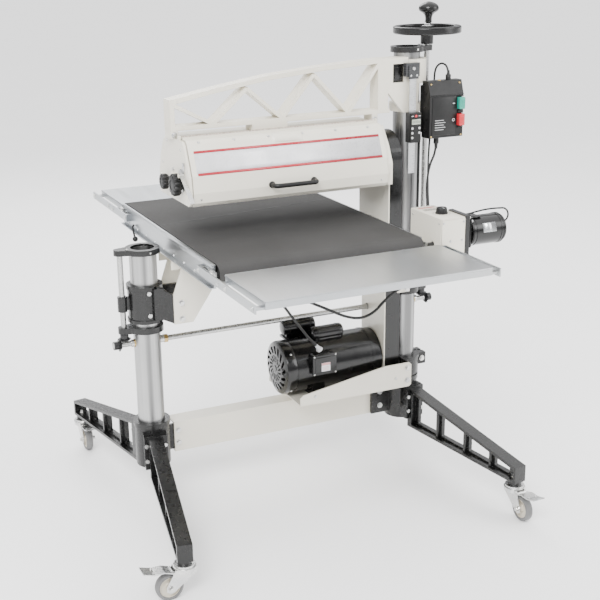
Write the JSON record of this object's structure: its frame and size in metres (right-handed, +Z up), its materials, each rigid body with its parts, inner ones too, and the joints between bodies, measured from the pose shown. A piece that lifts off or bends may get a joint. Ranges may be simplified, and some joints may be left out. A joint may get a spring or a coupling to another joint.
{
  "type": "drum sander",
  "caption": "Open-end drum sander on a two-column stand with casters: overhead drum head on a truss arm, screw-lifted conveyor table, belt drive and handwheel",
  "frame": {"origin": "on the floor under the middle of the whole machine", "axes": "+Z up; the drum and the cross shaft lie along X, with the belt drive on the +X side; stock is fed along +Y from the front"},
  "size_m": [1.2314, 1.412, 1.4485],
  "materials": {
    "cream_cast": "satin powder coat",
    "black_cast": "gloss black paint",
    "machined_steel": "turned",
    "zinc_sheet": "bright zinc plate",
    "feed_belt": "fine grained",
    "black_plastic": "moulded",
    "gloss_black": "moulded",
    "grit": "abrasive cloth",
    "rubber": "moulded",
    "tread": "grey tread",
    "green_plastic": "moulded",
    "red_plastic": "moulded",
    "aluminium_case": "satin"
  },
  "bodies": {
    "frame": {"columns": "machined_steel", "column_castings": "black_cast", "legs": "black_cast", "stand_hardware": "zinc_sheet", "column_rings": "black_cast", "hood_ends": "cream_cast", "head_brackets": "cream_cast", "motor_covers": "black_cast", "switch_box": "black_plastic", "cross_beam": "cream_cast", "readout_scale": "aluminium_case", "truss_arm": "cream_cast", "hood_shell": "cream_cast", "dust_port": "gloss_black", "guard_backplate": "cream_cast", "belt_guard": "gloss_black", "drive_belt": "rubber", "motor_body": "black_cast", "motor_tray": "cream_cast", "motor_lead": "rubber", "box_lead": "rubber", "inlet_lead": "rubber", "end_knobs": "black_plastic"},
    "table": {"table_collars": "black_cast", "bed_support": "cream_cast", "side_rails": "zinc_sheet", "table_hardware": "zinc_sheet", "extension_tables": "zinc_sheet", "readout_reader": "black_plastic", "bed_pan": "zinc_sheet", "conveyor_belt": "feed_belt", "control_box": "cream_cast", "feed_gearmotor": "gloss_black", "feed_motor_lead": "rubber"},
    "handwheel": {"handwheel": "gloss_black", "screw_right": "machined_steel"},
    "crank_knob": {"crank_knob": "gloss_black"},
    "cross_shaft": {"cross_shaft": "machined_steel"},
    "screw_left": {"screw_left": "machined_steel"},
    "drive_roller": {"drive_roller": "rubber"},
    "idler_roller": {"idler_roller": "rubber"},
    "speed_knob": {"speed_knob": "black_plastic"},
    "hood_lid": {"hood_lid": "cream_cast", "lid_handle": "black_plastic"},
    "drum": {"drum": "aluminium_case", "abrasive": "grit"},
    "motor_rotor": {"motor_rotor": "machined_steel"},
    "roller_front": {"pressure_roller_front": "machined_steel"},
    "roller_rear": {"pressure_roller_rear": "machined_steel"},
    "start_paddle": {"start_paddle": "green_plastic"},
    "stop_paddle": {"stop_paddle": "red_plastic"},
    "hood_latch": {"hood_latch": "zinc_sheet"},
    "caster_fl": {"caster_fl": "zinc_sheet"},
    "wheel_fl": {"wheel_fl": "tread"},
    "caster_rl": {"caster_rl": "zinc_sheet"},
    "wheel_rl": {"wheel_rl": "tread"},
    "caster_fr": {"caster_fr": "zinc_sheet"},
    "wheel_fr": {"wheel_fr": "tread"},
    "caster_rr": {"caster_rr": "zinc_sheet"},
    "wheel_rr": {"wheel_rr": "tread"}
  },
  "joints": [
    {"name": "handwheel_turn", "type": "hinge", "parent": "frame", "child": "handwheel", "pos_m": [0.5035, 0, 1.372], "axis": [0, 0, 1], "range_deg": [-2, 20345]},
    {"name": "table_lift", "type": "slide", "parent": "frame", "child": "table", "axis": [0, 0, 1], "range_m": [0, 0.0897]},
    {"name": "cross_shaft_turn", "type": "hinge", "parent": "frame", "child": "cross_shaft", "pos_m": [0.008, 0, 0.529], "axis": [1, 0, 0], "range_deg": [-20345, 2]},
    {"name": "screw_left_turn", "type": "hinge", "parent": "frame", "child": "screw_left", "pos_m": [-0.4875, 0, 0.7], "axis": [0, 0, 1], "range_deg": [-20345, 2]},
    {"name": "crank_knob_spin", "type": "hinge", "parent": "handwheel", "child": "crank_knob", "pos_m": [0.55497, 0.07746, 1.41], "axis": [0, 0, 1], "continuous": true},
    {"name": "drive_roller_turn", "type": "hinge", "parent": "table", "child": "drive_roller", "pos_m": [-0.042, -0.399, 0.8255], "axis": [1, 0, 0], "continuous": true},
    {"name": "idler_roller_turn", "type": "hinge", "parent": "table", "child": "idler_roller", "pos_m": [-0.042, 0.399, 0.8255], "axis": [1, 0, 0], "continuous": true},
    {"name": "speed_knob_turn", "type": "hinge", "parent": "table", "child": "speed_knob", "pos_m": [0.334, -0.377, 0.912], "axis": [0, 0, 1], "range_deg": [-150, 150]},
    {"name": "hood_lid_open", "type": "hinge", "parent": "frame", "child": "hood_lid", "pos_m": [-0.012, -0.076, 1.127], "axis": [-1, 0, 0], "range_deg": [0, 100]},
    {"name": "hood_latch_swing", "type": "hinge", "parent": "frame", "child": "hood_latch", "pos_m": [-0.332, -0.118, 1.03], "axis": [-1, 0, 0], "range_deg": [0, 70]},
    {"name": "drum_turn", "type": "hinge", "parent": "frame", "child": "drum", "pos_m": [0.008, -0.03, 1.0075], "axis": [1, 0, 0], "continuous": true},
    {"name": "motor_turn", "type": "hinge", "parent": "frame", "child": "motor_rotor", "pos_m": [0.208, -0.03, 0.386], "axis": [1, 0, 0], "continuous": true},
    {"name": "pressure_roller_front_turn", "type": "hinge", "parent": "frame", "child": "roller_front", "pos_m": [0.008, -0.118, 0.957], "axis": [1, 0, 0], "continuous": true},
    {"name": "pressure_roller_rear_turn", "type": "hinge", "parent": "frame", "child": "roller_rear", "pos_m": [0.008, 0.06, 0.957], "axis": [1, 0, 0], "continuous": true},
    {"name": "start_paddle_press", "type": "slide", "parent": "frame", "child": "start_paddle", "axis": [0, 1, 0], "range_m": [0, 0.003], "stiffness_N_per_m": 800, "springref_m": -0.002},
    {"name": "stop_paddle_press", "type": "slide", "parent": "frame", "child": "stop_paddle", "axis": [0, 1, 0], "range_m": [0, 0.003], "stiffness_N_per_m": 800, "springref_m": -0.002},
    {"name": "caster_fl_swivel", "type": "hinge", "parent": "frame", "child": "caster_fl", "pos_m": [-0.508, -0.518, 0.085], "axis": [0, 0, 1], "continuous": true},
    {"name": "wheel_fl_roll", "type": "hinge", "parent": "caster_fl", "child": "wheel_fl", "pos_m": [-0.552, -0.518, 0.038], "axis": [0, 1, 0], "continuous": true},
    {"name": "caster_rl_swivel", "type": "hinge", "parent": "frame", "child": "caster_rl", "pos_m": [-0.508, 0.518, 0.085], "axis": [0, 0, 1], "continuous": true},
    {"name": "wheel_rl_roll", "type": "hinge", "parent": "caster_rl", "child": "wheel_rl", "pos_m": [-0.508, 0.474, 0.038], "axis": [1, 0, 0], "continuous": true},
    {"name": "caster_fr_swivel", "type": "hinge", "parent": "frame", "child": "caster_fr", "pos_m": [0.524, -0.518, 0.085], "axis": [0, 0, 1], "continuous": true},
    {"name": "wheel_fr_roll", "type": "hinge", "parent": "caster_fr", "child": "wheel_fr", "pos_m": [0.524, -0.562, 0.038], "axis": [1, 0, 0], "continuous": true},
    {"name": "caster_rr_swivel", "type": "hinge", "parent": "frame", "child": "caster_rr", "pos_m": [0.524, 0.518, 0.085], "axis": [0, 0, 1], "continuous": true},
    {"name": "wheel_rr_roll", "type": "hinge", "parent": "caster_rr", "child": "wheel_rr", "pos_m": [0.524, 0.474, 0.038], "axis": [1, 0, 0], "continuous": true}
  ],
  "couplings": [
    {"joint": "handwheel_turn", "follows": "table_lift", "rad_per_m": 3957.9},
    {"joint": "cross_shaft_turn", "follows": "table_lift", "rad_per_m": -3957.9},
    {"joint": "screw_left_turn", "follows": "table_lift", "rad_per_m": -3957.9},
    {"joint": "idler_roller_turn", "follows": "drive_roller_turn", "ratio": 1},
    {"joint": "motor_turn", "follows": "drum_turn", "ratio": 1.5455}
  ]
}
